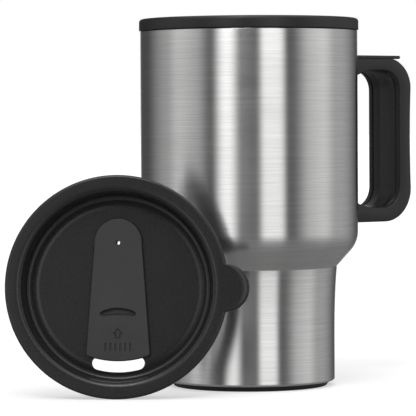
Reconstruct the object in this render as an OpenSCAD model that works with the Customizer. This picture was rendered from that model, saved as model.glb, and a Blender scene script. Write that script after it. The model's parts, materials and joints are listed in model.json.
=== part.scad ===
// Insulated travel mug: wide steel barrel over a narrow cup-holder section, black
// rim, D handle and foot, and a push-in lid with a sliding closure. Millimetres, Z up,
// the mug's axis is Z, the floor is z = 0 and the handle points along +X.
// The lid is off: it stands on its edge beside the mug, top outwards, slider open.

/* [Mug body] */
// Height from the floor to the drinking rim
mug_h = 150; // [146:1:160]
// Outside diameter of the wide barrel
barrel_d = 89; // [88:0.5:92]
// Outside diameter of the cup-holder section near the floor
foot_d = 69.4; // [67:0.2:71]
// Outside diameter of the cup-holder section at the crease under the shoulder
waist_d = 71.6; // [71:0.2:72]
// Height where the shoulder reaches the barrel's full diameter
shoulder_z = 63.2; // [61:0.2:64]
// Radius of the rounded part of the shoulder
shoulder_r = 12.3; // [11:0.1:13]
// Slope of the shoulder's straight part, degrees from the vertical
shoulder_slope = 42; // [38:1:46]
// Thickness of the outer steel wall
shell_t = 0.6; // [0.5:0.1:0.8]
// Thickness of the liner's wall
liner_t = 0.5; // [0.4:0.1:0.7]
// Distance from the outside of the shell to the outside of the liner
jacket_t = 4.6; // [4.4:0.1:5]

/* [Rim and foot] */
// Height of the rim collar that shows above the steel
collar_h = 4.8; // [4:0.1:6]
// How far the collar stands out past the barrel
collar_lip = 0.4; // [0.3:0.1:0.6]
// Bore of the collar and the liner, where the lid goes in
mouth_d = 78.8; // [78.4:0.1:79]
// Diameter of the black foot
foot_cap_d = 64.4; // [63:0.2:65]
// Height of the foot that shows under the steel
foot_cap_h = 2; // [1.8:0.1:2.6]
// Thickness of the non-slip pad
pad_t = 0.9; // [0.6:0.1:1.2]

/* [Handle] */
// Width of the handle, side to side
handle_w = 21; // [19:0.5:23]
// Distance from the mug's axis to the handle's outer face
handle_reach = 79.3; // [76:0.1:84]
// Distance from the mug's axis to the face the fingers touch
grip_x = 72.8; // [71:0.1:73.5]
// Height of the handle's top face
handle_top = 135.4; // [133:0.2:137]
// Height of the handle's underside
handle_bottom = 65.5; // [65:0.1:67]
// Depth of the top arm, thumb rest included
top_arm_t = 6.2; // [5.6:0.1:6.4]
// Depth of the bottom arm
bottom_arm_t = 6; // [5.2:0.1:6]
// Thickness of the thumb rest
thumb_t = 1.4; // [1.2:0.1:1.6]
// Thickness of the frame's outer wall
frame_wall = 2.2; // [2:0.1:2.4]

/* [Lid] */
// Diameter of the lid's flange
lid_d = 87.8; // [86:0.2:89]
// Thickness of the flange
flange_t = 3; // [2.6:0.1:3.4]
// Diameter of the plug that goes into the mug
plug_d = 76.8; // [76.4:0.1:77.2]
// Depth of the plug under the flange
plug_h = 12; // [11.5:0.1:13]
// Depth of the deck below the flange's top face
deck_depth = 9.6; // [9:0.1:10]
// Radius of the round pull tab
tab_r = 9.4; // [8:0.1:10]
// Distance from the lid's axis to the end of the tab
tab_reach = 52; // [50:0.1:54]

/* [Slider] */
// Length of the sliding plate
slider_l = 55.4; // [54:0.1:56.2]
// Distance from the lid's axis to the plate's wide end, when open
slider_end = 28.2; // [28:0.1:29]
// Width of the plate at its wide end
slider_w = 25.4; // [24:0.1:25.6]
// Thickness of the plate
slider_t = 1.8; // [1.6:0.1:2]
// Travel from open to shut
slider_travel = 6.5; // [6:0.1:6.5]
// Inner radius of the drinking slot
slot_in = 28.2; // [27.8:0.1:28.6]
// Outer radius of the drinking slot
slot_out = 33.3; // [33:0.1:33.6]
// Diameter of the vent hole
vent_d = 2; // [1.6:0.1:2.4]

/* [Lid's resting place] */
// How far the lid leans back towards the mug, degrees
lid_lean = 5.5; // [4:0.5:6]
// Which way the lid's top faces, degrees about Z from -Y
lid_turn = -40; // [-44:1:-36]
// Place of the lid's centre along X
lid_x = -74.5; // [-80:0.5:-74]
// Place of the lid's centre along Y
lid_y = -11; // [-16:0.5:-10.5]

/* [Hidden] */

$fn = 96;
tiny = 0.1;                     // gap between parts that lie against each other
past = 2;                       // how far a cutting shape runs past a face

barrel_r = barrel_d / 2;
foot_r = foot_d / 2;
waist_r = waist_d / 2;
mouth_r = mouth_d / 2;
collar_z = mug_h - collar_h;
shell_corner = 2;               // radius of the shell's bottom corner
straight_z = 14;                // the cup-holder section is a true cylinder up to here
neck_r = barrel_r - 0.8;        // the shell steps in under the collar
neck_top = mug_h - 2;
foot_hole_r = 30.9;             // opening in the shell's bottom
liner_floor = 9;                // underside of the liner
liner_corner = 3;
lip_z = collar_z - 2;           // top of the liner's lip
lip_r = 42.6;
slot_half = 10.25;              // half width of the drinking slot
tab_turn = -0.7;                // the tab sits this many degrees off the lid's X axis
tab_under = 0.7;                // the tab's underside, above the flange's underside
tab_hole_r = 40.5;              // the tab stops inside the flange
deck_fillet = 1.1;              // where the well's wall runs into the deck

// Points on a circle of radius r about c, from angle a to angle b
function arc(c, r, a, b, n = 8) =
    [for (i = [0 : n]) let (t = a + (b - a) * i / n) c + r * [cos(t), sin(t)]];
function reversed(p) = [for (i = [len(p) - 1 : -1 : 0]) p[i]];

// The mug's side, from the foot to the top of the shoulder, moved inwards by t
shoulder_c = [barrel_r - shoulder_r, shoulder_z];
function crease_z(t) = shoulder_z - (shoulder_r - t) * sin(shoulder_slope)
    - (shoulder_c[0] + (shoulder_r - t) * cos(shoulder_slope) - waist_r + t) / tan(shoulder_slope);
function side(t, z_low) = concat(
    [[foot_r - t, z_low]],
    [for (i = [0 : 6]) [foot_r - t + (waist_r - foot_r) * pow(i / 6, 3),
        straight_z + (crease_z(t) - straight_z) * i / 6]],
    arc(shoulder_c, shoulder_r - t, -shoulder_slope, 0, 8));

// ---- Mug ----

// Pressed steel wall, turned in at the bottom and stepped in under the collar
module outer_shell() {
    t = shell_t;
    corner = [foot_r - shell_corner, foot_cap_h + shell_corner];
    outside = concat(
        [[foot_hole_r, foot_cap_h]],
        arc(corner, shell_corner, -90, 0, 6),
        side(0, foot_cap_h + shell_corner + 0.2),
        [[barrel_r, collar_z - 0.4], [neck_r, collar_z], [neck_r, neck_top]]);
    inside = concat(
        [[foot_hole_r, foot_cap_h + t]],
        arc(corner, shell_corner - t, -90, 0, 6),
        side(t, foot_cap_h + shell_corner + 0.2),
        [[barrel_r - t, collar_z - 0.4], [neck_r - t, collar_z], [neck_r - t, neck_top]]);
    color("silver")
        rotate_extrude()
            polygon(concat(outside, reversed(inside)));
}

// Drawn steel cup with a flat lip at the top
module inner_liner() {
    t = jacket_t + liner_t;
    floor_r = foot_r - jacket_t;
    corner = [floor_r - liner_corner, liner_floor + liner_corner];
    outside = concat(
        [[0, liner_floor]],
        arc(corner, liner_corner, -90, 0, 6),
        side(jacket_t, corner[1] + 0.2),
        [[barrel_r - jacket_t, lip_z - liner_t], [lip_r, lip_z - liner_t], [lip_r, lip_z]]);
    inside = concat(
        [[0, liner_floor + liner_t]],
        arc(corner, liner_corner - liner_t, -90, 0, 6),
        side(t, corner[1] + 0.2),
        [[barrel_r - t, lip_z]]);
    color("gainsboro")
        rotate_extrude()
            polygon(concat(outside, reversed(inside)));
}

// Moulded foam jacket between the two steel walls
module insulation_sleeve() {
    sleeve_bottom = 5.4;
    outside = concat(side(shell_t + tiny, sleeve_bottom), [[barrel_r - shell_t - tiny, 142]]);
    inside = concat(side(jacket_t - tiny, sleeve_bottom), [[barrel_r - jacket_t + tiny, 142]]);
    color("lightyellow")
        rotate_extrude()
            polygon(concat(outside, reversed(inside)));
}

// Foam disc under the liner
module insulation_disc() {
    color("lightyellow")
        translate([0, 0, 5.4])
            cylinder(h = liner_floor - tiny - 5.4, r = 28.6);
}

// Black rim ring: a groove takes the shell's top edge, the inner skirt presses on the gasket
module rim_collar() {
    out_r = barrel_r + collar_lip;
    groove_out = neck_r + tiny;
    groove_in = neck_r - shell_t - tiny;
    groove_top = neck_top + tiny;
    skirt_z = collar_z - 1.2;
    color("#2b2b2b")
        rotate_extrude()
            polygon(concat(
                [[mouth_r, skirt_z]],
                arc([mouth_r + 0.9, mug_h - 0.9], 0.9, 180, 90, 6),
                arc([out_r - 1.4, mug_h - 1.4], 1.4, 90, 0, 6),
                [[out_r, collar_z], [groove_out, collar_z], [groove_out, groove_top],
                 [groove_in, groove_top], [groove_in, skirt_z]]));
}

// Flat ring that seals the liner's lip against the collar
module collar_gasket() {
    z0 = lip_z + 0.02;
    z1 = collar_z - 1.2 - 0.02;
    color("dimgray")
        translate([0, 0, z0])
            difference() {
                cylinder(h = z1 - z0, r = lip_r);
                translate([0, 0, -past])
                    cylinder(h = z1 - z0 + 2 * past, r = mouth_r + 0.1);
            }
}

// Black plug that closes the shell's bottom, hollowed under the foam disc
module base_cap() {
    rim = foot_cap_d / 2;
    spigot_r = foot_hole_r - tiny;
    color("#1d1d1d")
        rotate_extrude()
            polygon(concat(
                [[0, pad_t], [rim - 0.6, pad_t]],
                arc([rim - 0.6, foot_cap_h - 0.5], 0.5, -60, 60, 4),
                [[rim - 0.9, foot_cap_h - 0.02], [spigot_r, foot_cap_h - 0.02], [spigot_r, 5],
                 [spigot_r - 1.5, 5], [spigot_r - 1.5, pad_t + 1.4], [0, pad_t + 1.4]]));
}

// Rubber disc glued under the plug; the mug stands on it
module base_pad() {
    color("black")
        rotate_extrude()
            polygon([[0, 0], [foot_cap_d / 2 - 1, 0], [foot_cap_d / 2 - 0.6, 0.4],
                [foot_cap_d / 2 - 0.6, pad_t], [0, pad_t]]);
}

// ---- Handle, drawn in the X-Z plane and extruded across ----

root_x = 40;                    // handle outlines start inside the barrel and are cut back
frame_top = handle_top - thumb_t;
corner_top = 12;                // outer corner radii
corner_bottom = 14;
bend_r = 8.5;                   // inner corner radius, top and bottom
flare_x = 60;                   // from here to the barrel the arms get thicker
flare_r = 26;
insert_recess = 0.3;            // the insert lies this far behind the frame's edges
channel_w = handle_w - 5;       // room between the frame's two side walls
screw_x = 51;
screw_r = 1.5;
head_r = 2.75;
tongue_t = 1;
root_gap = 0.1;

// Outer outline from the top root to the bottom root, moved inwards by o
function handle_outside(o) = concat(
    [[root_x, frame_top - o]],
    arc([handle_reach - corner_top, frame_top - corner_top], corner_top - o, 90, 0, 10),
    [for (i = [1 : 5]) let (s = i / 6)
        [handle_reach - o - 2 * s * (1 - s),
         frame_top - corner_top - s * (frame_top - corner_top - handle_bottom - corner_bottom)]],
    arc([handle_reach - corner_bottom, handle_bottom + corner_bottom], corner_bottom - o, 0, -90, 10),
    [[root_x, handle_bottom + o]]);

// Outline of the finger gap from the top root to the bottom root, moved outwards by o
function handle_inside(o) =
    let (zt = handle_top - top_arm_t, zb = handle_bottom + bottom_arm_t, cx = grip_x - bend_r,
        spread = asin((flare_x - root_x - 4) / flare_r))
    concat(
        arc([flare_x, zt - flare_r], flare_r + o, 90 + spread, 90, 6),
        arc([cx, zt - bend_r], bend_r + o, 90, 0, 8),
        arc([cx, zb + bend_r], bend_r + o, 0, -90, 8),
        arc([flare_x, zb + flare_r], flare_r + o, 270, 270 - spread, 6));

module across(points, width) {
    rotate([90, 0, 0])
        linear_extrude(height = width, center = true)
            polygon(points);
}

module barrel_cut(gap) {
    translate([0, 0, shoulder_z - 10])
        cylinder(h = 90, r = barrel_r + gap);
}

// Countersunk screw standing on its tip: head face at z = 0, pointing down; g widens it
module screw_form(len, g = 0) {
    translate([0, 0, -head_r + screw_r - g])
        cylinder(h = head_r - screw_r + g, r1 = screw_r + g, r2 = head_r + 2 * g);
    translate([0, 0, -len])
        cylinder(h = len - 0.5, r = screw_r + g);
}

// Moulded channel that makes the handle's outer face and both sides
module handle_frame() {
    color("#333333")
        difference() {
            across(concat(handle_outside(0), reversed(handle_inside(0))), handle_w);
            across(concat(handle_outside(frame_wall), reversed(handle_inside(-past))), channel_w);
            barrel_cut(root_gap);
            translate([screw_x, 0, frame_top])
                screw_form(6, 0.1);
            translate([screw_x, 0, handle_bottom])
                mirror([0, 0, 1])
                    screw_form(6, 0.1);
            for (y = [-5, 5])
                translate([62, y, frame_top - 1.8])
                    cylinder(h = 3, r = 1.3);
        }
}

// Softer moulding that fills the channel and faces the fingers, with pockets for the brackets
module handle_insert() {
    pocket_x = 57.4;
    pocket_w = 12.6;
    pocket_top = 129.8;
    pocket_bottom = 69.9;
    color("#1f1f1f")
        difference() {
            across(concat(handle_outside(frame_wall + tiny), reversed(handle_inside(insert_recess))),
                channel_w - 2 * tiny);
            barrel_cut(1.2);
            translate([root_x, -pocket_w / 2, pocket_top])
                cube([pocket_x - root_x, pocket_w, 10]);
            translate([root_x, -pocket_w / 2, pocket_bottom - 10])
                cube([pocket_x - root_x, pocket_w, 10]);
        }
}

// Plate on the top arm; its rounded lip stands out past the corner
module thumb_rest() {
    tip_r = thumb_t / 2;
    color("#3a3a3a") {
        difference() {
            across(concat([[root_x, frame_top]],
                arc([73 - tip_r, frame_top + tip_r], tip_r, -90, 90, 8),
                [[root_x, handle_top]]), handle_w);
            barrel_cut(root_gap);
        }
        for (y = [-5, 5])
            translate([62, y, frame_top - 1.6])
                cylinder(h = 1.8, r = 1.2);
    }
}

// Steel bracket spot-welded to the barrel: a curved pad and a tongue with a tapped hole
module bracket(pad_z0, pad_z1, tongue_z) {
    difference() {
        union() {
            intersection() {
                difference() {
                    translate([0, 0, pad_z0])
                        cylinder(h = pad_z1 - pad_z0, r = barrel_r + 0.02 + 0.9);
                    barrel_cut(0.02);
                }
                translate([0, -6, pad_z0 - past])
                    cube([60, 12, pad_z1 - pad_z0 + 2 * past]);
            }
            translate([barrel_r + 0.5, -5, tongue_z])
                cube([57 - barrel_r - 0.5, 10, tongue_t]);
        }
        translate([screw_x, 0, tongue_z - past])
            cylinder(h = tongue_t + 2 * past, r = screw_r + 0.02);
    }
}

module upper_bracket() {
    color("slategray")
        bracket(129.5, frame_top - frame_wall - tiny, frame_top - frame_wall - tiny - tongue_t);
}

module lower_bracket() {
    color("slategray")
        bracket(handle_bottom + frame_wall + tiny, 70.7, handle_bottom + frame_wall + tiny);
}

module upper_handle_screw() {
    color("gray")
        translate([screw_x, 0, frame_top - 0.05])
            screw_form(4);
}

module lower_handle_screw() {
    color("gray")
        translate([screw_x, 0, handle_bottom + 0.05])
            mirror([0, 0, 1])
                screw_form(4);
}

// ---- Lid: drawn lying flat, axis Z, flange underside at z = 0, slot towards -Y ----

lid_r = lid_d / 2;
plug_r = plug_d / 2;
deck_top = flange_t - deck_depth;
deck_t = 1.8;
well_r = 36.3;                  // radius of the well above the deck
well_top_r = 37;
roll_r = 2.8;                   // rounding from the flange down into the well
edge_r = 1.2;
gasket_top = -4;
gasket_bottom = -7;
groove_r = plug_r - 1;
plate_bottom = deck_top + 0.2;
plate_round = 9.5;              // radius of the plate's narrow end
plate_arc = 37;                 // radius of the plate's wide end
guide_w = 6.2;                  // guide slot under the plate
guide_top = 10.8;
guide_bottom = -12.8;
vent_y = 17.6;

// Puts a lid part where the lid stands
module in_place() {
    lid_z = (lid_r - edge_r) * cos(lid_lean) - edge_r * sin(lid_lean) + edge_r;
    translate([lid_x, lid_y, lid_z])
        rotate([90 - lid_lean, 0, lid_turn])
            children();
}

// Ring sector with round ends, about the Z axis, centred on -Y
module arc_slot(r_in, r_out, half_w, h) {
    r_mid = (r_in + r_out) / 2;
    end_r = (r_out - r_in) / 2;
    half_a = asin((half_w - end_r) / r_mid);
    reach = 2 * r_out;
    linear_extrude(height = h) {
        intersection() {
            difference() {
                circle(r = r_out);
                circle(r = r_in);
            }
            polygon([[0, 0], [-reach * sin(half_a), -reach * cos(half_a)],
                [reach * sin(half_a), -reach * cos(half_a)]]);
        }
        for (s = [-1, 1])
            translate([s * r_mid * sin(half_a), -r_mid * cos(half_a)])
                circle(r = end_r, $fn = 32);
    }
}

// Slot with round ends along Y
module long_slot(y0, y1, w, h) {
    linear_extrude(height = h) {
        translate([-w / 2, y0 + w / 2])
            square([w, y1 - y0 - w]);
        for (y = [y0 + w / 2, y1 - w / 2])
            translate([0, y])
                circle(r = w / 2, $fn = 32);
    }
}

// Flange, well, deck and plug in one moulding, with the pull tab at one side
module lid_shell() {
    deck_low = deck_top - deck_t;
    color("#2e2e2e")
        in_place()
            difference() {
                union() {
                    rotate_extrude()
                        polygon(concat(
                            [[0, deck_low], [well_r, deck_low], [well_r, -plug_h]],
                            [[plug_r - 0.6, -plug_h], [plug_r - 0.1, -plug_h + 0.6],
                             [plug_r, gasket_bottom], [groove_r, gasket_bottom],
                             [groove_r, gasket_top], [plug_r, gasket_top], [plug_r, 0]],
                            arc([lid_r - edge_r, edge_r], edge_r, -90, 0, 5),
                            arc([lid_r - edge_r, flange_t - edge_r], edge_r, 0, 90, 5),
                            arc([well_top_r + roll_r, flange_t - roll_r], roll_r, 90, 180, 7),
                            arc([well_r - deck_fillet, deck_top + deck_fillet], deck_fillet, 0, -90, 4),
                            [[0, deck_top]]));
                    difference() {
                        rotate([0, 0, tab_turn])
                            translate([tab_reach - tab_r, 0, tab_under])
                                cylinder(h = flange_t - 0.8, r = tab_r);
                        translate([0, 0, -past])
                            cylinder(h = flange_t + 2 * past, r = tab_hole_r);
                    }
                }
                translate([0, 0, deck_low - past])
                    arc_slot(slot_in, slot_out, slot_half, deck_t + 2 * past);
                translate([0, 0, deck_low - past])
                    long_slot(guide_bottom, guide_top, guide_w, deck_t + 2 * past);
                translate([0, vent_y, deck_low - past])
                    cylinder(h = deck_t + 2 * past, d = vent_d);
            }
}

// Ring in the plug's groove with two soft lips
module lid_gasket() {
    lip = mouth_r - 0.05;
    body = plug_r + 0.3;
    inner = groove_r + 0.02;
    color("dimgray")
        in_place()
            rotate_extrude()
                polygon([[inner, gasket_bottom + 0.05], [body, gasket_bottom + 0.05],
                    [lip, gasket_bottom + 0.5], [lip, gasket_bottom + 0.8], [body, gasket_bottom + 1.3],
                    [body, gasket_top - 1.1], [lip, gasket_top - 0.8], [lip, gasket_top - 0.5],
                    [body, gasket_top - 0.05], [inner, gasket_top - 0.05]]);
}

// Flat outline of the plate: round narrow end, straight flanks, wide arc end
module plate_outline() {
    round_y = slider_l - slider_end - plate_round;
    half_w = slider_w / 2;
    intersection() {
        union() {
            translate([0, round_y])
                circle(r = plate_round);
            polygon([[-plate_round, round_y], [-half_w, -slider_end + 2],
                [-half_w, -slider_end - 2], [half_w, -slider_end - 2],
                [half_w, -slider_end + 2], [plate_round, round_y]]);
        }
        translate([0, plate_arc - slider_end])
            circle(r = plate_arc);
    }
}

module slider_plate() {
    catch_r = 16;               // radius of the crescent thumb catch
    catch_top = -8;
    seal_pocket = 0.8;
    color("#3d3d3d")
        in_place()
            difference() {
                union() {
                    translate([0, 0, plate_bottom])
                        linear_extrude(height = slider_t)
                            plate_outline();
                    translate([0, 0, deck_top - deck_t - 0.9])
                        long_slot(-6, 10.4, guide_w - 0.4, deck_t + 1.2);
                }
                translate([0, catch_top - catch_r, plate_bottom + slider_t - 1])
                    rotate([0, 0, 180])
                        arc_slot(catch_r - 1.8, catch_r, 7.3, 2);
                translate([0, slider_travel, plate_bottom - 1])
                    arc_slot(slot_in - 1, slot_out + 0.8, 11.1, 1 + seal_pocket);
                translate([0, vent_y, plate_bottom - past])
                    cylinder(h = slider_t + 2 * past, d = vent_d);
            }
}

// Silicone pad set into the plate's underside; it covers the drinking slot when shut
module slider_seal() {
    color("gray")
        in_place()
            translate([0, slider_travel, deck_top + 0.05])
                arc_slot(slot_in - 0.9, slot_out + 0.7, 11, 0.9);
}

// Clip under the deck that holds the plate by its stem
module slider_keeper() {
    keeper_top = deck_top - deck_t - 0.2;
    color("#222222")
        in_place()
            difference() {
                translate([0, 0, keeper_top - 1.7])
                    long_slot(-9.5, 14, 12, 1.7);
                translate([0, 0, keeper_top - 0.75])
                    long_slot(-6.05, 10.45, guide_w - 0.3, past);
            }
}

outer_shell();
inner_liner();
insulation_sleeve();
insulation_disc();
rim_collar();
collar_gasket();
base_cap();
base_pad();
handle_frame();
handle_insert();
thumb_rest();
upper_bracket();
lower_bracket();
upper_handle_screw();
lower_handle_screw();
lid_shell();
lid_gasket();
slider_plate();
slider_seal();
slider_keeper();
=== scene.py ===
"""Insulated travel mug with its lid standing in front: the visible model, lights and camera.

Every length is in metres in the CAD frame: the mug's axis is Z, the floor is z = 0 and the
handle points along +X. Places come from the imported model, sizes of detail are named here.
"""
import json
import math

import bmesh
import bpy
from mathutils import Matrix, Vector


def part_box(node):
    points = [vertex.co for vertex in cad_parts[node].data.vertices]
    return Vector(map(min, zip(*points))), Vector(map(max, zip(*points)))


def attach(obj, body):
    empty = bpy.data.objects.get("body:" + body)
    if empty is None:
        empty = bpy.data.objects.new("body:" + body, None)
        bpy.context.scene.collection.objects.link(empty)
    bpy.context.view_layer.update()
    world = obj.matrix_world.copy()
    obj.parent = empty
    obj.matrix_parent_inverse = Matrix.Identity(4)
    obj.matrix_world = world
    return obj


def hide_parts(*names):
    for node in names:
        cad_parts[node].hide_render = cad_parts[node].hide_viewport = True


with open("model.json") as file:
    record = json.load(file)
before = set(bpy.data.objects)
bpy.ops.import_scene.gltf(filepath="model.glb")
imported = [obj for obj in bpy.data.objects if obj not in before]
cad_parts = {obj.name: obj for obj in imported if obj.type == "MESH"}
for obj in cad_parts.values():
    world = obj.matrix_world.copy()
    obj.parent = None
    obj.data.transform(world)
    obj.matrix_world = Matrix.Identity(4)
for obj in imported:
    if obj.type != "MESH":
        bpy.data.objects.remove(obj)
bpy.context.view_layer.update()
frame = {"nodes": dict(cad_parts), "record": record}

MM = 0.001
VIEW_TURN = math.radians(37)      # the handle points this far behind the picture plane
RIGHT = Vector((math.cos(VIEW_TURN), -math.sin(VIEW_TURN), 0))
AWAY = Vector((math.sin(VIEW_TURN), math.cos(VIEW_TURN), 0))
UP = Vector((0, 0, 1))


# ---------------------------------------------------------------- camera

def make_camera():
    """Long lens from the front, a little above mid height, mug right of centre."""
    distance = 1.138
    eye_height = 0.1086
    aim_down = math.radians(1.81)
    roll = math.radians(0.33)
    left_of_axis = 0.01705
    data = bpy.data.cameras.new("camera")
    data.sensor_width = 36
    data.lens = 240.1
    data.clip_end = 20
    data.dof.use_dof = False
    camera = bpy.data.objects.new("camera", data)
    bpy.context.collection.objects.link(camera)
    look = AWAY * math.cos(aim_down) - UP * math.sin(aim_down)
    over = RIGHT.cross(look)
    turn = Matrix((RIGHT, over, -look)).transposed().to_4x4()
    place = Matrix.Translation(-RIGHT * left_of_axis - AWAY * distance + UP * eye_height)
    camera.matrix_world = place @ turn @ Matrix.Rotation(-roll, 4, "Z")
    bpy.context.scene.camera = camera


# ---------------------------------------------------------------- outlines

def rounded(points, steps=6):
    """A path through (a, b, radius) corners, each rounded by an arc of that radius."""
    path = []
    count = len(points)
    for i, (a, b, radius) in enumerate(points):
        here = Vector((a, b))
        if radius <= 0 or i in (0, count - 1):
            path.append(here)
            continue
        back = (Vector(points[i - 1][:2]) - here).normalized()
        ahead = (Vector(points[i + 1][:2]) - here).normalized()
        half = back.angle(ahead) / 2
        centre = here + (back + ahead).normalized() * radius / math.sin(half)
        start = here + back * radius / math.tan(half) - centre
        end = here + ahead * radius / math.tan(half) - centre
        sweep = math.atan2(start.x * end.y - start.y * end.x, start.dot(end))
        for k in range(steps + 1):
            path.append(centre + Matrix.Rotation(sweep * k / steps, 2) @ start)
    return path


def arc(centre, radius, start, end, steps):
    """Points on an arc, angles in degrees."""
    angles = [math.radians(start + (end - start) * k / steps) for k in range(steps + 1)]
    return [Vector((centre[0] + radius * math.cos(t), centre[1] + radius * math.sin(t))) for t in angles]


# ---------------------------------------------------------------- meshes

def finish_mesh(name, bm, body, nodes, material, matrix=None, sharp=40):
    """Turns a bmesh into a smooth-shaded piece that rides on a body and replaces its nodes."""
    bmesh.ops.remove_doubles(bm, verts=bm.verts, dist=1e-7)
    bmesh.ops.recalc_face_normals(bm, faces=bm.faces)
    if matrix is not None:
        bm.transform(matrix)
    mesh = bpy.data.meshes.new(name)
    bm.to_mesh(mesh)
    bm.free()
    mesh.polygons.foreach_set("use_smooth", [True] * len(mesh.polygons))
    mesh.set_sharp_from_angle(angle=math.radians(sharp))
    piece = bpy.data.objects.new(name, mesh)
    bpy.context.collection.objects.link(piece)
    mesh.materials.append(material)
    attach(piece, body)
    if nodes:
        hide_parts(*nodes)
    return piece


def lathe(profile, segments=192, closed=True):
    """A bmesh turned about Z from (radius, height) points; points on the axis are shared."""
    bm = bmesh.new()
    rings = []
    for point in profile:
        if point.x < 1e-7:
            rings.append([bm.verts.new((0, 0, point.y))] * segments)
            continue
        turns = [2 * math.pi * k / segments for k in range(segments)]
        rings.append([bm.verts.new((point.x * math.cos(t), point.x * math.sin(t), point.y)) for t in turns])
    pairs = list(zip(rings, rings[1:]))
    if closed:
        pairs.append((rings[-1], rings[0]))
    for low, high in pairs:
        for k in range(segments):
            corners = [low[k], low[(k + 1) % segments], high[(k + 1) % segments], high[k]]
            corners = list(dict.fromkeys(corners))
            if len(corners) > 2:
                bm.faces.new(corners)
    return bm


def slab(outline, levels):
    """A closed solid from one outline at several (height, inset) levels, bottom level first."""
    bm = bmesh.new()
    rings = []
    for height, inset in levels:
        rings.append([bm.verts.new((p.x, p.y, height)) for p in inset_outline(outline, inset)])
    count = len(outline)
    for low, high in zip(rings, rings[1:]):
        for k in range(count):
            bm.faces.new([low[k], low[(k + 1) % count], high[(k + 1) % count], high[k]])
    bm.faces.new(list(reversed(rings[0])))
    bm.faces.new(rings[-1])
    return bm


def inset_outline(outline, inset):
    """The outline (counter-clockwise) moved inwards by inset, each point along its mitre."""
    moved = []
    count = len(outline)
    for i, here in enumerate(outline):
        before = (here - outline[i - 1]).normalized()
        after = (outline[(i + 1) % count] - here).normalized()
        normals = [Vector((-d.y, d.x)) for d in (before, after)]
        mitre = (normals[0] + normals[1]).normalized()
        moved.append(here + mitre * inset / max(0.5, mitre.dot(normals[0])))
    return moved


def cut(bm, cutters):
    """The bmesh with the cutters' solids taken out of it."""
    def as_object(source, name):
        bmesh.ops.recalc_face_normals(source, faces=source.faces)
        mesh = bpy.data.meshes.new(name)
        source.to_mesh(mesh)
        source.free()
        ob = bpy.data.objects.new(name, mesh)
        bpy.context.collection.objects.link(ob)
        return ob

    target = as_object(bm, "target")
    tools = [as_object(cutter, "cutter") for cutter in cutters]
    for tool in tools:
        modifier = target.modifiers.new("cut", "BOOLEAN")
        modifier.operation = "DIFFERENCE"
        modifier.solver = "EXACT"
        modifier.object = tool
    bpy.context.view_layer.update()
    done = bpy.data.meshes.new_from_object(target.evaluated_get(bpy.context.evaluated_depsgraph_get()))
    result = bmesh.new()
    result.from_mesh(done)
    for ob in [target] + tools:
        mesh = ob.data
        bpy.data.objects.remove(ob)
        bpy.data.meshes.remove(mesh)
    bpy.data.meshes.remove(done)
    return result


# ---------------------------------------------------------------- node helpers

def new_material(name):
    material = bpy.data.materials.new(name)
    material.use_nodes = True
    tree = material.node_tree
    return material, tree, tree.nodes["Principled BSDF"]


def scaled_noise(tree, scale, detail=4.0, roughness=0.55):
    """Noise over object coordinates, with its own scale along each axis (cycles per metre)."""
    where = tree.nodes.new("ShaderNodeTexCoord")
    stretch = tree.nodes.new("ShaderNodeMapping")
    stretch.inputs["Scale"].default_value = scale
    noise = tree.nodes.new("ShaderNodeTexNoise")
    noise.inputs["Scale"].default_value = 1.0
    noise.inputs["Detail"].default_value = detail
    noise.inputs["Roughness"].default_value = roughness
    tree.links.new(where.outputs["Object"], stretch.inputs["Vector"])
    tree.links.new(stretch.outputs["Vector"], noise.inputs["Vector"])
    return noise.outputs["Fac"]


def map_range(tree, value, low, high, to_low, to_high):
    node = tree.nodes.new("ShaderNodeMapRange")
    for socket, number in zip(("From Min", "From Max", "To Min", "To Max"), (low, high, to_low, to_high)):
        node.inputs[socket].default_value = number
    tree.links.new(value, node.inputs["Value"])
    return node.outputs["Result"]


def blend_colours(tree, factor, dark, light):
    node = tree.nodes.new("ShaderNodeMix")
    node.data_type = "RGBA"
    node.inputs[6].default_value = (*dark, 1)
    node.inputs[7].default_value = (*light, 1)
    tree.links.new(factor, node.inputs["Factor"])
    return node.outputs[2]


def add_bump(tree, shader, heights):
    """Chains bumps of (height socket, strength, distance in metres) onto a shader's normal."""
    normal = None
    for height, strength, distance in heights:
        bump = tree.nodes.new("ShaderNodeBump")
        bump.inputs["Strength"].default_value = strength
        bump.inputs["Distance"].default_value = distance
        tree.links.new(height, bump.inputs["Height"])
        if normal:
            tree.links.new(normal, bump.inputs["Normal"])
        normal = bump.outputs["Normal"]
    tree.links.new(normal, shader.inputs["Normal"])


# ---------------------------------------------------------------- materials

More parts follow.
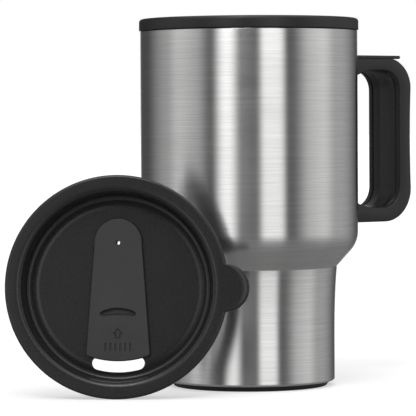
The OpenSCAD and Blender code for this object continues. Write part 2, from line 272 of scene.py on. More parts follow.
def brushed_steel(name, shade, roughness, anisotropy, streak=1.0):
    """Steel brushed around the mug's axis: ring grain in the bump, streaks in the colour, soft patches."""
    material, tree, shader = new_material(name)
    rings = scaled_noise(tree, (9, 9, 5200), 1.0)
    streaks = scaled_noise(tree, (40, 40, 2600), 4.0, 0.5)
    contrast = 0.07 * streak      # how far the streaks go from the shade, as a share of it
    gloss_spread = 0.006
    patches = scaled_noise(tree, (22, 22, 60), 3.0)
    dark = [c * (1 - contrast) for c in shade]
    light = [min(1, c * (1 + contrast)) for c in shade]
    tree.links.new(blend_colours(tree, map_range(tree, streaks, 0.3, 0.7, 0, 1), dark, light),
                   shader.inputs["Base Color"])
    rough_sum = tree.nodes.new("ShaderNodeMath")
    rough_sum.operation = "ADD"
    tree.links.new(map_range(tree, streaks, 0.3, 0.7, roughness - gloss_spread, roughness + gloss_spread),
                   rough_sum.inputs[0])
    tree.links.new(map_range(tree, patches, 0.3, 0.7, -0.02, 0.02), rough_sum.inputs[1])
    tree.links.new(rough_sum.outputs[0], shader.inputs["Roughness"])
    shader.inputs["Metallic"].default_value = 1.0
    shader.inputs["Anisotropic"].default_value = anisotropy
    shader.inputs["Anisotropic Rotation"].default_value = 0.25
    around = tree.nodes.new("ShaderNodeTangent")
    around.direction_type = "RADIAL"
    around.axis = "Z"
    tree.links.new(around.outputs["Tangent"], shader.inputs["Tangent"])
    add_bump(tree, shader, [(rings, 0.12, 0.00002)])
    return material


def moulded(name, shade, roughness, grain=2600.0, depth=0.00002, mottle=0.12):
    """Moulded black plastic: spark-eroded grain, slight mottling and uneven gloss."""
    material, tree, shader = new_material(name)
    fine = scaled_noise(tree, (grain, grain, grain), 2.0, 0.6)
    cloud = scaled_noise(tree, (55, 55, 55), 4.0)
    dark = [c * (1 - mottle) for c in shade]
    light = [c * (1 + mottle) for c in shade]
    tree.links.new(blend_colours(tree, map_range(tree, cloud, 0.3, 0.7, 0, 1), dark, light),
                   shader.inputs["Base Color"])
    tree.links.new(map_range(tree, fine, 0.3, 0.7, roughness - 0.06, roughness + 0.06),
                   shader.inputs["Roughness"])
    add_bump(tree, shader, [(fine, 0.6, depth), (cloud, 0.15, 0.00008)])
    return material


def soft_rubber(name, shade):
    """Matt rubber with pale dust in its grain."""
    material, tree, shader = new_material(name)
    dust = scaled_noise(tree, (900, 900, 900), 5.0, 0.7)
    tree.links.new(blend_colours(tree, map_range(tree, dust, 0.4, 0.8, 0, 1), shade,
                                 [c * 1.6 for c in shade]), shader.inputs["Base Color"])
    tree.links.new(map_range(tree, dust, 0.3, 0.7, 0.68, 0.86), shader.inputs["Roughness"])
    shader.inputs["Specular IOR Level"].default_value = 0.35
    add_bump(tree, shader, [(dust, 0.4, 0.00003)])
    return material


def bead_foam(name, shade):
    """Moulded foam made of beads, darker where they meet."""
    material, tree, shader = new_material(name)
    where = tree.nodes.new("ShaderNodeTexCoord")
    beads = tree.nodes.new("ShaderNodeTexVoronoi")
    beads.inputs["Scale"].default_value = 420
    tree.links.new(where.outputs["Object"], beads.inputs["Vector"])
    tree.links.new(blend_colours(tree, map_range(tree, beads.outputs["Distance"], 0.0, 0.8, 0, 1),
                                 shade, [c * 0.82 for c in shade]), shader.inputs["Base Color"])
    shader.inputs["Roughness"].default_value = 0.8
    add_bump(tree, shader, [(beads.outputs["Distance"], 0.5, -0.0003)])
    return material


def plated_steel(name, shade):
    """Dull plating with a haze over it, for brackets and screws."""
    material, tree, shader = new_material(name)
    haze = scaled_noise(tree, (700, 700, 700), 4.0)
    tree.links.new(blend_colours(tree, haze, [c * 0.85 for c in shade], shade), shader.inputs["Base Color"])
    tree.links.new(map_range(tree, haze, 0.3, 0.7, 0.3, 0.48), shader.inputs["Roughness"])
    shader.inputs["Metallic"].default_value = 1.0
    add_bump(tree, shader, [(haze, 0.2, 0.00002)])
    return material


STEEL = brushed_steel("brushed_steel", (0.68, 0.68, 0.675), 0.25, 0.95)
LINER = brushed_steel("liner_steel", (0.6, 0.6, 0.59), 0.36, 0.5, 1.4)
COLLAR_BLACK = moulded("collar_black", (0.009, 0.009, 0.0094), 0.4)
# darker than the other black mouldings: the cap's own black plus painted shade where the foot meets the floor
# under the mug
FOOT_BLACK_AND_SHADE = moulded("foot_black_and_shade", (0.004, 0.004, 0.004), 0.55)
HANDLE_BLACK = moulded("handle_black", (0.0095, 0.0095, 0.0099), 0.44)
GRIP_BLACK = moulded("grip_black", (0.0085, 0.0085, 0.009), 0.32, 3400)
THUMB_BLACK = moulded("thumb_black", (0.0115, 0.0115, 0.012), 0.44)
LID_BLACK = moulded("lid_black", (0.0108, 0.0108, 0.0112), 0.3)
SLIDER_BLACK = moulded("slider_black", (0.0255, 0.0255, 0.026), 0.5, 3200, 0.00003)
CLIP_BLACK = moulded("clip_black", (0.014, 0.014, 0.014), 0.5)
PAD_RUBBER = soft_rubber("pad_rubber", (0.012, 0.012, 0.012))
SEAL_RUBBER = soft_rubber("seal_rubber", (0.04, 0.04, 0.042))
FOAM = bead_foam("foam", (0.82, 0.8, 0.72))
FITTING = plated_steel("fitting_steel", (0.52, 0.52, 0.53))


# ---------------------------------------------------------------- the mug

def node_radius(node):
    low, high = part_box(node)
    return (high[1] - low[1]) / 2


def make_mug():
    """The steel body and liner, the rim ring, and the foot's cap and pad."""
    shell_low, shell_high = (corner[2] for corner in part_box("outer_shell"))
    barrel = node_radius("outer_shell")
    foot = 0.0347
    collar_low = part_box("rim_collar")[1][2] - 4.8 * MM
    shoulder_z = 63.2 * MM
    shoulder_r = 12.3 * MM
    slope = math.radians(42)
    waist = 35.8 * MM
    straight = 14 * MM

    def side(inset, low):
        """The mug's side from the foot to the top of the shoulder."""
        centre = (barrel - shoulder_r, shoulder_z)
        turn = shoulder_r - inset
        crease = (shoulder_z - turn * math.sin(slope)
                  - (centre[0] + turn * math.cos(slope) - waist + inset) / math.tan(slope))
        soft = 1.1 * MM
        path = [Vector((foot - inset, low))]
        for k in range(0, 15):
            s = k / 15
            path.append(Vector((foot - inset + (waist - foot) * s ** 3, straight + (crease - straight) * s)))
        corner = rounded([(*path[-1], 0), (waist - inset, crease, soft),
                          (centre[0] + turn * math.cos(slope), shoulder_z - turn * math.sin(slope), 0)], 5)
        path += corner[1:-1]
        path += arc(centre, turn, -math.degrees(slope), 0, 14)
        return path

    wall = 0.6 * MM
    corner_r = 1 * MM
    neck = barrel - 0.8 * MM
    hole = 30.9 * MM
    outside = [Vector((hole, shell_low))]
    outside += arc((foot - corner_r, shell_low + corner_r), corner_r, -90, 0, 8)
    outside += side(0, shell_low + corner_r + 0.2 * MM)
    outside += rounded([(barrel, collar_low - 12 * MM, 0), (barrel, collar_low - 0.35 * MM, 0.3 * MM),
                        (neck, collar_low, 0.3 * MM), (neck, shell_high, 0)], 4)
    inside = [Vector((hole, shell_low + wall))]
    inside += arc((foot - corner_r, shell_low + corner_r), corner_r - wall, -90, 0, 6)
    inside += side(wall, shell_low + corner_r + 0.2 * MM)
    inside += [Vector((barrel - wall, collar_low - 0.5 * MM)), Vector((neck - wall, collar_low)),
               Vector((neck - wall, shell_high))]
    shell = lathe(outside + inside[::-1], 256)
    finish_mesh("steel_body", shell, "mug", ["outer_shell"], STEEL, sharp=50)

    jacket = 4.6 * MM
    sheet = 0.5 * MM
    liner_low, liner_high = (corner[2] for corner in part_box("inner_liner"))
    lip = node_radius("inner_liner")
    floor_r = foot - jacket
    outer = [Vector((0, liner_low))]
    outer += arc((floor_r - 3 * MM, liner_low + 3 * MM), 3 * MM, -90, 0, 8)
    outer += side(jacket, liner_low + 3.2 * MM)
    outer += [Vector((barrel - jacket, liner_high - sheet)), Vector((lip, liner_high - sheet)),
              Vector((lip, liner_high))]
    inner = [Vector((0, liner_low + sheet)), Vector((12 * MM, liner_low + sheet)),
             Vector((13 * MM, liner_low + sheet + 0.25 * MM)),
             Vector((floor_r - 6 * MM, liner_low + sheet + 0.25 * MM)),
             Vector((floor_r - 5 * MM, liner_low + sheet))]
    inner += arc((floor_r - 3 * MM, liner_low + 3 * MM), 2.5 * MM, -90, 0, 8)
    inner += side(jacket + sheet, liner_low + 3.2 * MM)
    inner += arc((barrel - jacket - sheet + 0.5 * MM, liner_high - 0.5 * MM), 0.5 * MM, 180, 90, 4)
    liner = lathe(outer + inner[::-1], 192, closed=False)
    finish_mesh("steel_liner", liner, "mug", ["inner_liner"], LINER, sharp=50)

    rim_low, rim_high = (corner[2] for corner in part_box("rim_collar"))
    rim_out = node_radius("rim_collar")
    bore = 39.4 * MM
    ring = rounded([
        (bore, rim_low + 1 * MM, 0), (bore, rim_high, 1.5 * MM), (rim_out, rim_high, 1.4 * MM),
        (rim_out, collar_low, 0.3 * MM), (neck + 0.1 * MM, collar_low, 0.15 * MM),
        (neck + 0.1 * MM, shell_high + 0.1 * MM, 0), (neck - wall - 0.1 * MM, shell_high + 0.1 * MM, 0),
        (neck - wall - 0.1 * MM, rim_low, 0.3 * MM), (bore, rim_low, 0.3 * MM),
        (bore, rim_low + 0.9 * MM, 0)], 7)
    finish_mesh("rim_ring", lathe(ring, 256), "mug", ["rim_collar"], COLLAR_BLACK, sharp=50)

    cap_low, cap_high = (corner[2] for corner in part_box("base_cap"))
    cap_out = node_radius("base_cap") + 0.4 * MM
    spigot = hole - 0.1 * MM
    cap = rounded([
        (0, cap_low, 0), (cap_out - 0.5 * MM, cap_low, 0.3 * MM), (cap_out, cap_low + 0.5 * MM, 0.4 * MM),
        (cap_out - 0.1 * MM, shell_low - 0.02 * MM, 0.3 * MM), (spigot, shell_low - 0.02 * MM, 0),
        (spigot, cap_high, 0.3 * MM), (spigot - 1.5 * MM, cap_high, 0.3 * MM),
        (spigot - 1.5 * MM, cap_low + 1.4 * MM, 0.4 * MM), (0, cap_low + 1.4 * MM, 0)], 5)
    finish_mesh("foot_cap", lathe(cap, 192, closed=False), "mug", ["base_cap"], FOOT_BLACK_AND_SHADE)

    pad_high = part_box("base_pad")[1][2]
    pad_out = node_radius("base_pad")
    corners = [(0, 0.3 * MM, 0), (7 * MM, 0.3 * MM, 0.2 * MM), (7.6 * MM, 0, 0.2 * MM)]
    for k in range(4):
        groove = (12 + 5 * k) * MM
        corners += [(groove - 0.6 * MM, 0, 0.15 * MM), (groove, 0.35 * MM, 0.2 * MM),
                    (groove + 0.6 * MM, 0, 0.15 * MM)]
    corners += [(pad_out - 0.3 * MM, 0, 0.4 * MM), (pad_out, 0.5 * MM, 0.2 * MM),
                (pad_out, pad_high, 0.1 * MM),
                (0, pad_high, 0)]
    pad = lathe(rounded(corners, 4), 192, closed=False)
    finish_mesh("foot_pad", pad, "mug", ["base_pad"], PAD_RUBBER)


# ---------------------------------------------------------------- the handle

def handle_path(steps=14):
    """Pairs of (outer, inner) points in the X-Z plane, from the top root round to the bottom root."""
    low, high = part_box("handle_frame")
    reach, bottom, top = high[0], low[2], high[2]
    rest_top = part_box("thumb_rest")[1][2]
    grip = reach - 6.5 * MM
    inner_top = rest_top - 6.2 * MM
    inner_bottom = bottom + 6.0 * MM
    top_r, bottom_r, bend = 12 * MM, 14 * MM, 8.5 * MM
    flare_x, flare_r = 60 * MM, 26 * MM
    bend_x = grip - bend
    root = low[0] + 0.4 * MM

    def flare(x):
        """How much thicker an arm is at x than at its thinnest."""
        away = max(0.0, flare_x - x)
        return flare_r - math.sqrt(flare_r ** 2 - away ** 2)

    def arm(k, outer_x, height, inner_height, side):
        s = k / (steps + 6)
        outer = Vector((root + (outer_x - root) * s, height))
        x = root + (bend_x - root) * s
        return outer, Vector((x, inner_height - side * flare(x)))

    pairs = [arm(k, reach - top_r, top, inner_top, 1) for k in range(steps + 6)]
    outer = arc((reach - top_r, top - top_r), top_r, 90, 0, steps)
    inner = arc((bend_x, inner_top - bend), bend, 90, 0, steps)
    pairs += list(zip(outer, inner))
    for k in range(1, 12):
        s = k / 12
        outer_z = top - top_r - s * (top - top_r - bottom - bottom_r)
        inner_z = inner_top - bend - s * (inner_top - inner_bottom - 2 * bend)
        pairs.append((Vector((reach - 2 * MM * s * (1 - s), outer_z)), Vector((grip, inner_z))))
    outer = arc((reach - bottom_r, bottom + bottom_r), bottom_r, 0, -90, steps)
    inner = arc((bend_x, inner_bottom + bend), bend, 0, -90, steps)
    pairs += list(zip(outer, inner))
    pairs += [arm(k, reach - bottom_r, bottom, inner_bottom, -1) for k in range(steps + 5, -1, -1)]
    return pairs


def sweep_handle(section, gap):
    """A bmesh with section(thickness, share under the thumb rest) repeated along the handle.

    Its ends are shaped to the barrel.
    """
    bm = bmesh.new()
    rings = []
    stations = handle_path()
    barrel = node_radius("outer_shell") + gap
    for index, (outer, inner) in enumerate(stations):
        across = inner - outer
        thick = across.length
        across.normalize()
        ring = []
        covered = max(0.0, min(1.0, (74 * MM - outer.x) / (4 * MM))) if outer.y > 0.12 else 0.0
        for depth, side in section(thick, covered):
            place = outer + across * depth
            x = place.x
            if index in (0, len(stations) - 1):
                x = math.sqrt(barrel ** 2 - side ** 2)
            ring.append(bm.verts.new((x, side, place.y)))
        rings.append(ring)
    count = len(rings[0])
    for low, high in zip(rings, rings[1:]):
        for k in range(count):
            bm.faces.new([low[k], low[(k + 1) % count], high[(k + 1) % count], high[k]])
    bm.faces.new(list(reversed(rings[0])))
    bm.faces.new(rings[-1])
    return bm


def make_handle():
    """The channel, the grip set into it and the thumb plate on its top arm."""
    low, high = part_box("handle_frame")
    half = (high[1] - low[1]) / 2
    wall = 2.5 * MM
    back = 2.2 * MM

    def frame_section(thick, covered):
        """Channel: crowned side walls with soft edges, open towards the fingers."""
        outer_edge = 0.9 * MM - 0.75 * MM * covered
        drop = 0.3 * MM * (1 - covered)
        corners = [(0, 0, 0), (0, half - drop, outer_edge), (thick * 0.5, half, 9 * MM),
                   (thick, half - 0.25 * MM, 0.6 * MM), (thick, half - wall, 0.35 * MM),
                   (back, half - wall, 0.2 * MM), (back, 0, 0)]
        path = rounded(corners, 6)
        mirrored = [Vector((p.x, -p.y)) for p in reversed(path[1:-1])]
        return [(p.x, p.y) for p in path + mirrored]

    frame_mesh = sweep_handle(frame_section, 0.1 * MM)
    finish_mesh("handle_body", frame_mesh, "mug", ["handle_frame"], HANDLE_BLACK, sharp=60)

    fill = half - wall - 0.12 * MM

    def insert_section(thick, _covered):
        """Fills the channel: rounded shoulders beside the walls and a shallow dish between them."""
        face = thick - 0.05 * MM
        dish = 0.55 * MM
        corners = [(back + 0.1 * MM, 0, 0), (back + 0.1 * MM, fill, 0.2 * MM),
                   (face - 0.35 * MM, fill, 0.55 * MM),
                   (face, fill - 1.2 * MM, 1.6 * MM), (face - dish, fill - 4.6 * MM, 4 * MM),
                   (face - dish * 0.8, 0, 0)]
        path = rounded(corners, 6)
        mirrored = [Vector((p.x, -p.y)) for p in reversed(path[1:-1])]
        return [(p.x, p.y) for p in path + mirrored]

    finish_mesh("handle_grip", sweep_handle(insert_section, 1.2 * MM), "mug", ["handle_insert"],
                GRIP_BLACK, sharp=60)

    rest_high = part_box("thumb_rest")[1]
    top = rest_high[2]
    under = high[2]
    tip_r = (top - under) / 2
    soft = 0.3 * MM
    outline = [Vector((40 * MM, under))] + arc((rest_high[0] - tip_r, under + tip_r), tip_r, -90, 90, 14)
    outline += [Vector((40 * MM, top))]
    plate = slab(outline, [(-half, soft), (-half + soft * 0.3, soft * 0.3), (-half + soft, 0),
                           (half - soft, 0), (half - soft * 0.3, soft * 0.3), (half, soft)])
    plate.transform(Matrix.Rotation(math.radians(90), 4, "X"))
    barrel = slab(circle_outline((0, 0), node_radius("outer_shell") + 0.1 * MM, 256),
                  [(under - 2 * MM, 0), (top + 2 * MM, 0)])
    finish_mesh("thumb_plate", cut(plate, [barrel]), "mug", ["thumb_rest"],
                THUMB_BLACK, sharp=50)


# ---------------------------------------------------------------- the lid

LID_FACE = 3.0 * MM               # flange top over its underside
DECK = -6.6 * MM                  # deck top below the flange's underside
DECK_THICK = 1.8 * MM
LID_R = 43.9 * MM
TAB_TURN = math.radians(-0.7)     # bearing of the tab from the lid's X axis
TAB_R = 9.4 * MM
TAB_CENTRE = 42.6 * MM
PLATE_LOW = DECK + 0.2 * MM
PLATE_HIGH = PLATE_LOW + 1.8 * MM
SLOT_IN, SLOT_OUT, SLOT_HALF = 28.2 * MM, 33.3 * MM, 10.4 * MM
VENT_Y = 17.6 * MM
OPEN_SHUT = 6.5 * MM


def lid_matrix():
    """From the lid's own frame (X across, Y up its face, Z out of its top) to the row."""
    joints = {joint["name"]: joint for joint in frame["record"]["behaviour"]["joints"]}
    up_face = -Vector(joints["slider_slide"]["axis"]).normalized()
    across = Vector((up_face.x, up_face.y, 0)).normalized().cross(UP)
    out = across.cross(up_face)
    low, high = (Vector(corner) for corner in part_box("lid_gasket"))
    origin = (low + high) / 2 + out * 5.5 * MM
    matrix = Matrix((across, up_face, out)).transposed().to_4x4()
    matrix.translation = origin
    return matrix


def rim_radius(turn):
    """Distance from the lid's axis to its edge at an angle, tab included, with a small fillet."""
    turn = turn - TAB_TURN
    across = TAB_CENTRE * math.sin(turn)
    if math.cos(turn) < 0 or abs(across) >= TAB_R:
        return LID_R
    tab = TAB_CENTRE * math.cos(turn) + math.sqrt(TAB_R ** 2 - across ** 2)
    soft = 0.9 * MM
    overlap = max(soft - abs(LID_R - tab), 0) / soft
    return max(LID_R, tab) + overlap ** 2 * soft / 4


def arc_slot_outline(r_in, r_out, half_w, grow=0.0, steps=10):
    """Ring sector with round ends, centred on -Y, counter-clockwise."""
    mid = (r_in + r_out) / 2
    end = (r_out - r_in) / 2
    half = math.degrees(math.asin((half_w - end) / mid))
    reach = end + grow
    outline = arc((0, 0), mid + reach, -90 - half, -90 + half, 3 * steps)[:-1]
    tip = [mid * math.cos(math.radians(-90 + half)), mid * math.sin(math.radians(-90 + half))]
    outline += arc(tip, reach, -90 + half, 90 + half, steps)[:-1]
    outline += arc((0, 0), mid - reach, -90 + half, -90 - half, 3 * steps)[:-1]
    outline += arc((-tip[0], tip[1]), reach, 90 - half, 270 - half, steps)[:-1]
    return outline


def long_slot_outline(y0, y1, width, steps=12):
    r = width / 2
    return arc((0, y1 - r), r, 0, 180, steps) + arc((0, y0 + r), r, 180, 360, steps)


def circle_outline(centre, radius, steps=32):
    return arc(centre, radius, 0, 360, steps)[:-1]


def hole_levels(low, high, soft):
    """Levels of a cutter whose hole has a softened edge at the top face."""
    return [(low - 1 * MM, 0), (high - soft, 0), (high - soft * 0.45, -soft * 0.12),
            (high - soft * 0.12, -soft * 0.45),
            (high, -soft), (high + 0.8 * MM, -soft)]


def make_lid(place):
    """The lid in one moulding, cut for its slot, guide and vent, and the soft ring round its plug."""
    low_deck = DECK - DECK_THICK
    plug = 38.4 * MM
    groove = 37.4 * MM
    bottom = -12 * MM
    start = 40.5 * MM             # the flange is round inside this radius and follows the tab outside it
    profile = [
        (0, DECK, 0), (12 * MM, DECK, 0), (24 * MM, DECK, 0),
        (31.9 * MM, DECK, 7 * MM), (34.6 * MM, DECK - 0.75 * MM, 1.2 * MM),
        (36.3 * MM, DECK - 0.8 * MM, 1.5 * MM), (37.4 * MM, LID_FACE, 2.4 * MM), (start, LID_FACE, 0),
        (LID_R, LID_FACE, 1.1 * MM), (LID_R, 0, 1.1 * MM), (start, 0, 0), (plug, 0, 0.5 * MM),
        (plug, -4 * MM, 0.1 * MM), (groove, -4 * MM, 0.1 * MM),
        (groove, -7 * MM, 0.1 * MM), (plug, -7 * MM, 0.1 * MM),
        (plug, bottom, 0.6 * MM), (36.3 * MM, bottom, 0.4 * MM),
        (36.3 * MM, low_deck, 0.6 * MM), (0, low_deck, 0)]
    path = rounded(profile, 7)

    fine = [math.radians(-16 + 0.25 * k) for k in range(128)]
    coarse = [math.radians(16 + 1.5 * k) for k in range(int((360 - 32) / 1.5) + 1)]
    turns = fine + coarse
    bm = bmesh.new()
    rings = []
    for point in path:
        if point.x < 1e-7:
            rings.append([bm.verts.new((0, 0, point.y))] * len(turns))
            continue
        ring = []
        for turn in turns:
            radius, height = point.x, point.y
            if radius > start:
                share = (radius - start) / (LID_R - start)
                reach = rim_radius(turn)
                radius = start + share * (reach - start)
                thin = min(1.0, (reach - LID_R) / (4 * MM)) * min(1.0, share * 1.3)
                height = height - 0.1 * MM * thin if height > 1.5 * MM else height + 0.7 * MM * thin
            ring.append(bm.verts.new((radius * math.cos(turn), radius * math.sin(turn), height)))
        rings.append(ring)
    count = len(turns)
    for first, second in zip(rings, rings[1:]):
        for k in range(count):
            corners = [first[k], first[(k + 1) % count], second[(k + 1) % count], second[k]]
            corners = list(dict.fromkeys(corners))
            if len(corners) > 2:
                bm.faces.new(corners)
    bmesh.ops.recalc_face_normals(bm, faces=bm.faces)

    slot = slab(arc_slot_outline(SLOT_IN, SLOT_OUT, SLOT_HALF), hole_levels(low_deck, DECK, 0.45 * MM))
    guide = slab(long_slot_outline(-12.8 * MM, 10.8 * MM, 6.2 * MM), hole_levels(low_deck, DECK, 0.2 * MM))
    vent = slab(circle_outline((0.35 * MM, VENT_Y), 0.8 * MM), hole_levels(low_deck, DECK, 0.2 * MM))
    lid = finish_mesh("lid_cover", cut(bm, [slot, guide, vent]), "lid", ["lid_shell"],
                      LID_BLACK, matrix=place, sharp=48)
    weighted = lid.modifiers.new("normals", "WEIGHTED_NORMAL")
    weighted.keep_sharp = True

    lip = 39.35 * MM
    body = plug + 0.3 * MM
    seat = groove + 0.02 * MM
    ring = rounded([
        (seat, -5.5 * MM, 0), (seat, -6.95 * MM, 0),
        (body, -6.95 * MM, 0.1 * MM), (lip, -6.4 * MM, 0.12 * MM),
        (lip, -6.15 * MM, 0.12 * MM), (body, -5.7 * MM, 0.3 * MM), (body, -5.1 * MM, 0.3 * MM),
        (lip, -4.85 * MM, 0.12 * MM), (lip, -4.6 * MM, 0.12 * MM),
        (body, -4.05 * MM, 0.1 * MM), (seat, -4.05 * MM, 0)], 4)
    finish_mesh("lid_ring", lathe(ring, 192), "lid", ["lid_gasket"], SEAL_RUBBER, matrix=place)


def plate_outline():
    """The sliding plate: round narrow end, straight flanks, wide arc end, small soft corners."""
    narrow_r, wide_r, half_w = 9.5 * MM, 37 * MM, 12.7 * MM
    end, length = 29.0 * MM, 56.2 * MM
    top_y = length - end - narrow_r
    centre_y = wide_r - end
    corner_y = centre_y - math.sqrt(wide_r ** 2 - half_w ** 2)
    flank = math.degrees(math.atan2(half_w - narrow_r, top_y - corner_y))
    half_turn = math.degrees(math.asin(half_w / wide_r))
    top = arc((0, top_y), narrow_r, -flank, 180 + flank, 40)
    wide = arc((0, centre_y), wide_r, -90 - half_turn, -90 + half_turn, 24)
    corner = 0.9 * MM
    loop = [(*p, 0) for p in top] + [(*wide[0], corner)]
    loop += [(*p, 0) for p in wide[1:-1]] + [(*wide[-1], corner)]
    return rounded(loop + [(*top[0], 0)], 5)[:-1]


def groove(outline, depth=0.45 * MM):
    """A cutter for a mark sunk into the plate, its walls drawn in towards the bottom."""
    return slab(outline, [(PLATE_HIGH - depth, 0.06 * MM), (PLATE_HIGH - 0.08 * MM, 0),
                          (PLATE_HIGH, -0.05 * MM), (PLATE_HIGH + 0.5 * MM, -0.05 * MM)])


def thumb_catch():
    """(cutter, lip): a scoop under the upper edge and a ridge along the lower one."""
    half, top, rise, thick, tip = 7.3 * MM, -7.9 * MM, 1.8 * MM, 2.3 * MM, 1.4 * MM
    stations = 28
    across = 9
    scoop, lip = bmesh.new(), bmesh.new()
    rows, ridges = [], []
    for k in range(stations + 1):
        s = 2 * k / stations - 1
        round_end = math.sqrt(max(0.0, 1 - s ** 10))
        width = tip * round_end + (thick - tip) * (1 - s * s) + 0.02 * MM
        y = top - rise * s * s - 0.5 * tip * (1 - round_end)
        deep = 1.35 * MM * (0.3 + 0.7 * round_end)
        high = 0.55 * MM * round_end
        row = [(y, 0.5 * MM), (y, -0.1 * MM)]
        row += [(y - width * (0.1 + 0.8 * t / across), -deep * (1 - (t / across) ** 1.6))
                for t in range(across + 1)]
        row += [(y - width, 0.5 * MM)]
        rows.append([scoop.verts.new((half * s, py, PLATE_HIGH + pz)) for py, pz in row])
        crest = [(0.62, -deep * 0.75), (0.82, -deep * 0.3), (0.96, high * 0.75), (1.03, high),
                 (1.1, high * 0.8), (1.14, 0.0), (1.12, -0.3 * MM), (0.9, -deep)]
        ridges.append([lip.verts.new((half * s * 0.985, y - width * a, PLATE_HIGH + z)) for a, z in crest])
    for mesh, loops in ((scoop, rows), (lip, ridges)):
        count = len(loops[0])
        for first, second in zip(loops, loops[1:]):
            for k in range(count):
                mesh.faces.new([first[k], first[(k + 1) % count], second[(k + 1) % count], second[k]])
        mesh.faces.new(list(reversed(loops[0])))
        mesh.faces.new(loops[-1])
    return scoop, lip


def make_slider(place):
    """The sliding plate with its thumb catch, vent, sunk marks and stem."""
    body = slab(plate_outline(), [
        (PLATE_LOW, 0.25 * MM), (PLATE_LOW + 0.2 * MM, 0),
        (PLATE_HIGH - 0.55 * MM, 0), (PLATE_HIGH - 0.28 * MM, 0.09 * MM),
        (PLATE_HIGH - 0.09 * MM, 0.28 * MM), (PLATE_HIGH, 0.6 * MM)])
    scoop, lip = thumb_catch()
    pocket = slab(arc_slot_outline(SLOT_IN - 1 * MM, SLOT_OUT + 0.8 * MM, 11.1 * MM),
                  [(PLATE_LOW - 1 * MM, 0), (PLATE_LOW + 0.8 * MM, 0)])
    pocket.transform(Matrix.Translation((0, OPEN_SHUT, 0)))
    vent_r = 0.8 * MM
    bar_count, bar_pitch, bar_width = 6, 1.95 * MM, 0.55 * MM
    arrow = [(-1.0, -19.9), (1.0, -19.9), (1.0, -18.2), (1.9, -18.2),
             (0, -16.0), (-1.9, -18.2), (-1.0, -18.2)]
    arrow = [Vector((x * MM, y * MM)) for x, y in arrow]
    island = slab(inset_outline(arrow, 0.42 * MM), [(PLATE_HIGH - 1 * MM, 0), (PLATE_HIGH + 1 * MM, 0)])
    mark = cut(groove(arrow), [island])
    marks = [mark]
    for k in range(bar_count):
        x = (k - (bar_count - 1) / 2) * bar_pitch
        marks.append(groove(long_slot_outline(-25.0 * MM, -21.8 * MM, bar_width, 6)))
        marks[-1].transform(Matrix.Translation((x, 0, 0)))
    vent = slab(circle_outline((0, VENT_Y), vent_r), hole_levels(PLATE_LOW, PLATE_HIGH, 0.25 * MM))
    plate = cut(body, [scoop, vent, pocket] + marks)

    stem = slab(long_slot_outline(-6 * MM, 10.4 * MM, 5.8 * MM),
                [(DECK - DECK_THICK - 0.9 * MM, 0.3 * MM), (DECK - DECK_THICK - 0.6 * MM, 0),
                 (PLATE_LOW + 0.3 * MM, 0)])
    for piece in (stem, lip):
        bmesh.ops.recalc_face_normals(piece, faces=piece.faces)
        mesh = bpy.data.meshes.new("part")
        piece.to_mesh(mesh)
        piece.free()
        plate.from_mesh(mesh)
        bpy.data.meshes.remove(mesh)
    slider = finish_mesh("slider_cover", plate, "slider", ["slider_plate"], SLIDER_BLACK,
                         matrix=place, sharp=48)
    weighted = slider.modifiers.new("normals", "WEIGHTED_NORMAL")
    weighted.keep_sharp = True


# ---------------------------------------------------------------- the CAD pieces that stay

def dress_nodes():
    """Gives every CAD node its finish; the hidden and small ones keep their CAD shape."""
    finishes = {
        FOAM: ["insulation_sleeve", "insulation_disc"],
        SEAL_RUBBER: ["collar_gasket", "slider_seal", "lid_gasket"],
        FITTING: ["upper_bracket", "lower_bracket", "upper_handle_screw", "lower_handle_screw"],
        CLIP_BLACK: ["slider_keeper"], STEEL: ["outer_shell"], LINER: ["inner_liner"],
        COLLAR_BLACK: ["rim_collar"],
        FOOT_BLACK_AND_SHADE: ["base_cap"], PAD_RUBBER: ["base_pad"], HANDLE_BLACK: ["handle_frame"],
        GRIP_BLACK: ["handle_insert"], THUMB_BLACK: ["thumb_rest"], LID_BLACK: ["lid_shell"],
        SLIDER_BLACK: ["slider_plate"]}
    for material, nodes in finishes.items():
        for node in nodes:
            for slot in frame["nodes"][node].material_slots:
                slot.material = material


# ---------------------------------------------------------------- studio

KEY_BEARING = math.radians(-12)   # the key light: from the front, a little left, high up
KEY_HEIGHT = math.radians(54)
KEY_CORE = math.radians(8)        # full strength inside this angle, none outside the next
KEY_EDGE = math.radians(14)
KEY_LEVEL = 6
OVERHEAD_LEVEL = 1.2
FILL_LEVEL = 0.08                 # the room between the softboxes
FLOOR_LEVEL = 0.22                # the light that comes from below the horizon


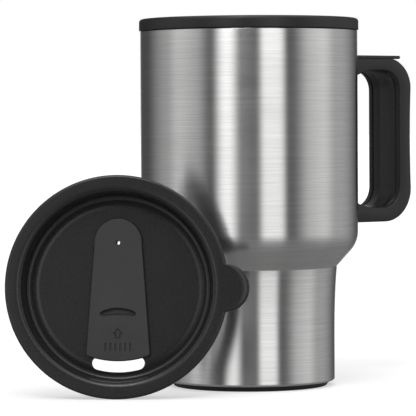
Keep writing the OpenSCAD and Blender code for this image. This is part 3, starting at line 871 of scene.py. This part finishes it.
def make_world():
    """A studio of tall softboxes, placed by their bearing from the camera's side of the mug."""
    world = bpy.data.worlds.new("studio")
    bpy.context.scene.world = world
    world.use_nodes = True
    tree = world.node_tree
    tree.nodes.clear()
    links = tree.links

    def node(kind, **settings):
        made = tree.nodes.new(kind)
        for key, value in settings.items():
            setattr(made, key, value)
        return made

    def maths(operation, *values):
        made = node("ShaderNodeMath", operation=operation)
        for socket, value in zip(made.inputs, values):
            if isinstance(value, (int, float)):
                socket.default_value = value
            else:
                links.new(value, socket)
        return made.outputs[0]

    def component(direction):
        made = node("ShaderNodeVectorMath", operation="DOT_PRODUCT")
        links.new(where.outputs["Generated"], made.inputs[0])
        made.inputs[1].default_value = direction
        return made.outputs["Value"]

    def smooth(value, low, high, to_low, to_high):
        made = node("ShaderNodeMapRange", interpolation_type="SMOOTHSTEP")
        for socket, number in zip(("From Min", "From Max", "To Min", "To Max"), (low, high, to_low, to_high)):
            made.inputs[socket].default_value = number
        links.new(value, made.inputs["Value"])
        return made.outputs["Result"]

    where = node("ShaderNodeTexCoord")
    bearing = maths("ARCTAN2", component(RIGHT), component(-AWAY))
    height = component(UP)

    # bearing (degrees, right of the camera is positive), half width, softness, level
    boxes = [(-25, 2, 14, 1.62), (24, 8, 9, 1.42), (-70, 12, 16, 0.3), (-88, 6, 45, 0.4),
             (75, 8, 22, 0.42), (100, 8, 52, 0.44), (180, 5, 13, 0.9)]
    level = None
    for centre, half, soft, strength in boxes:
        offset = maths("SUBTRACT", bearing, math.radians(centre))
        wrapped = maths("WRAP", offset, math.pi, -math.pi)
        away = maths("ABSOLUTE", wrapped)
        glow = smooth(away, math.radians(half), math.radians(half + soft), strength, 0)
        level = glow if level is None else maths("ADD", level, glow)
    level = maths("ADD", level, FILL_LEVEL)
    walls = maths("MULTIPLY", level, smooth(height, 0.8, 0.96, 1, 0))
    overhead = smooth(height, 0.66, 0.95, 0, OVERHEAD_LEVEL)
    key_at = RIGHT * math.sin(KEY_BEARING) - AWAY * math.cos(KEY_BEARING)
    key_at = key_at * math.cos(KEY_HEIGHT) + UP * math.sin(KEY_HEIGHT)
    key = smooth(component(key_at), math.cos(KEY_EDGE), math.cos(KEY_CORE), 0, KEY_LEVEL)
    upper = maths("ADD", maths("ADD", walls, overhead), key)
    floor_side = smooth(height, -0.45, -0.02, 1, 0)
    upper_part = maths("MULTIPLY", upper, maths("SUBTRACT", 1, floor_side))
    total = maths("ADD", upper_part, maths("MULTIPLY", floor_side, FLOOR_LEVEL))

    studio = node("ShaderNodeBackground")
    links.new(total, studio.inputs["Strength"])
    plain = node("ShaderNodeBackground")
    for background in (studio, plain):
        background.inputs["Color"].default_value = (1, 1, 1, 1)
    seen = node("ShaderNodeLightPath")
    mix = node("ShaderNodeMixShader")
    links.new(seen.outputs["Is Camera Ray"], mix.inputs["Fac"])
    links.new(studio.outputs["Background"], mix.inputs[1])
    links.new(plain.outputs["Background"], mix.inputs[2])
    output = node("ShaderNodeOutputWorld")
    links.new(mix.outputs["Shader"], output.inputs["Surface"])


def make_floor():
    """A wide pale floor."""
    bm = bmesh.new()
    reach = 60.0
    corners = [(-reach, -reach, 0), (reach, -reach, 0), (reach, reach, 0), (-reach, reach, 0)]
    bm.faces.new([bm.verts.new(corner) for corner in corners])
    mesh = bpy.data.meshes.new("floor")
    bm.to_mesh(mesh)
    bm.free()
    floor = bpy.data.objects.new("floor", mesh)
    bpy.context.collection.objects.link(floor)
    material, _, shader = new_material("floor_paper")
    shader.inputs["Base Color"].default_value = (0.6, 0.6, 0.6, 1)
    shader.inputs["Roughness"].default_value = 0.9
    shader.inputs["Specular IOR Level"].default_value = 0.1
    shader.inputs["Emission Color"].default_value = (1, 1, 1, 1)
    shader.inputs["Emission Strength"].default_value = 0.5
    mesh.materials.append(material)
    floor.visible_glossy = False


def make_card(place):
    """A small white card behind the lid, which keeps its reflection in the steel from going black."""
    radius = 38 * MM
    level = 0.32
    data = bpy.data.lights.new("card", "AREA")
    data.shape = "DISK"
    data.size = 2 * radius
    data.energy = level * math.pi * math.pi * radius ** 2
    card = bpy.data.objects.new("card", data)
    bpy.context.collection.objects.link(card)
    card.matrix_world = place @ Matrix.Translation((0, 0, -12.5 * MM))
    card.visible_camera = False


make_camera()
bpy.context.scene.view_settings.view_transform = "Standard"
make_world()
make_floor()
dress_nodes()
make_mug()
make_handle()
LID_PLACE = lid_matrix()
make_lid(LID_PLACE)
make_slider(LID_PLACE)
make_card(LID_PLACE)
